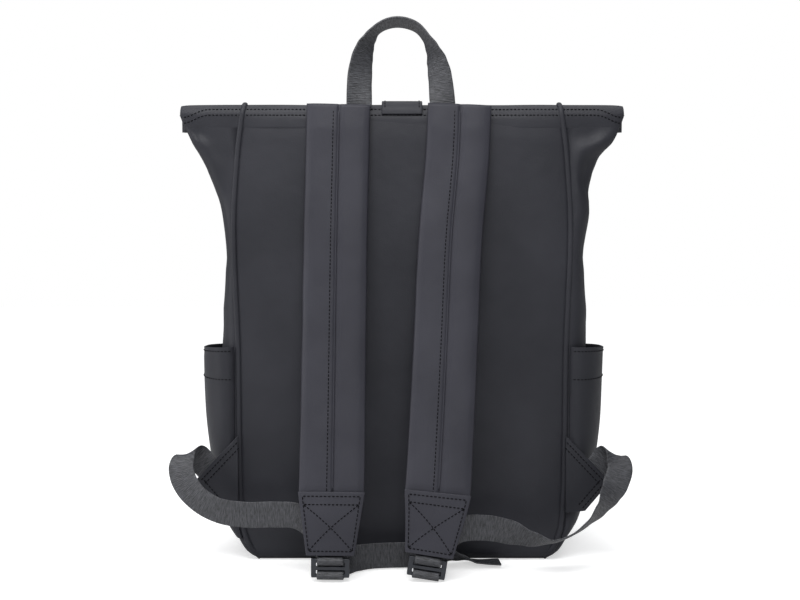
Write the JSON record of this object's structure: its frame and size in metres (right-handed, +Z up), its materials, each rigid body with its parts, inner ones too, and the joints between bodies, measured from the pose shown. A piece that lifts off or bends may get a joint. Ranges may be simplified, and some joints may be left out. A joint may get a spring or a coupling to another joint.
{
  "type": "leather backpack",
  "caption": "Roll-top leather backpack with padded shoulder straps on ladder locks, side pockets, grab handle and a snapped closing strap.",
  "frame": {"origin": "centre of the base's underside, on the surface that the bag stands on", "axes": "+Z up, -Y towards the wearer's back (the strap side), +X to the right when seen from the strap side"},
  "size_m": [0.4504, 0.2068, 0.5344],
  "materials": {
    "panel_leather": "smooth matte coated leather with a very fine grain",
    "strap_leather": "smooth matte coated leather, a little lighter",
    "webbing": "tightly woven nylon webbing with a dull sheen",
    "buckle_plastic": "moulded acetal, fine satin",
    "dark_metal": "dark gunmetal",
    "foam": "closed-cell foam under lining cloth",
    "board": "plain stiffener board",
    "lining": "plain woven lining cloth"
  },
  "bodies": {
    "root": {"back_panel": "panel_leather", "front_panel": "panel_leather", "gusset_left": "panel_leather", "gusset_right": "panel_leather", "base_panel": "panel_leather", "back_seam_left": "panel_leather", "back_seam_right": "panel_leather", "side_pocket_left": "panel_leather", "side_pocket_right": "panel_leather", "wedge_tab_left": "panel_leather", "wedge_tab_right": "panel_leather", "top_fold": "panel_leather", "front_pocket": "panel_leather", "lower_webbing_left": "webbing", "lower_webbing_right": "webbing", "zip_tape_lower": "webbing", "zip_tape_upper": "webbing", "snap_stud": "dark_metal", "zip_teeth": "dark_metal", "back_foam": "foam", "base_board": "board", "laptop_sleeve": "lining"},
    "rolltop": {"mouth_band": "panel_leather", "band_stiffener_back": "board", "band_stiffener_front": "board"},
    "closing_strap": {"closing_strap": "panel_leather", "snap_socket": "dark_metal", "snap_cap": "dark_metal"},
    "strap_left": {"shoulder_strap_left": "strap_leather", "strap_piping_left": "strap_leather", "strap_end_left": "strap_leather", "strap_loop_left": "webbing"},
    "strap_right": {"shoulder_strap_right": "strap_leather", "strap_piping_right": "strap_leather", "strap_end_right": "strap_leather", "strap_loop_right": "webbing"},
    "lock_left": {"ladder_lock_left": "buckle_plastic"},
    "lock_right": {"ladder_lock_right": "buckle_plastic"},
    "handle": {"grab_handle": "webbing"},
    "slider": {"zip_slider": "dark_metal"},
    "pull": {"zip_pull": "dark_metal"}
  },
  "joints": [
    {"name": "closing_strap_swing", "type": "hinge", "parent": "root", "child": "closing_strap", "pos_m": [0, -0.0497, 0.443], "axis": [1, 0, 0], "range_deg": [0, 180]},
    {"name": "rolltop_fold", "type": "hinge", "parent": "root", "child": "rolltop", "pos_m": [0, -0.0367, 0.441], "axis": [1, 0, 0], "range_deg": [0, 175], "deforming": ["top_fold"]},
    {"name": "strap_left_swing", "type": "hinge", "parent": "root", "child": "strap_left", "pos_m": [-0.062, -0.056, 0.446], "axis": [-1, 0, 0], "range_deg": [0, 30], "deforming": ["lower_webbing_left"]},
    {"name": "strap_right_swing", "type": "hinge", "parent": "root", "child": "strap_right", "pos_m": [0.056, -0.056, 0.446], "axis": [-1, 0, 0], "range_deg": [0, 30], "deforming": ["lower_webbing_right"]},
    {"name": "lock_left_tilt", "type": "hinge", "parent": "strap_left", "child": "lock_left", "pos_m": [-0.06705, -0.131, 0.02], "axis": [1, 0, -0.0098], "range_deg": [-45, 45], "deforming": ["lower_webbing_left"]},
    {"name": "lock_right_tilt", "type": "hinge", "parent": "strap_right", "child": "lock_right", "pos_m": [0.02423, -0.131, 0.02006], "axis": [0.9879, 0, -0.155], "range_deg": [-45, 45], "deforming": ["lower_webbing_right"]},
    {"name": "grab_handle_swing", "type": "hinge", "parent": "root", "child": "handle", "pos_m": [0, -0.0496, 0.448], "axis": [-1, 0, 0], "range_deg": [-80, 0], "stiffness_Nm_per_rad": 0.03},
    {"name": "zip_slide", "type": "slide", "parent": "root", "child": "slider", "axis": [1, 0, 0], "range_m": [0, 0.22]},
    {"name": "zip_pull_swing", "type": "hinge", "parent": "slider", "child": "pull", "pos_m": [-0.11, 0.06757, 0.236], "axis": [1, 0, 0], "range_deg": [0, 150]}
  ],
  "couplings": [
    {"joint": "rolltop_fold", "follows": "closing_strap_swing", "ratio": 0.97}
  ]
}
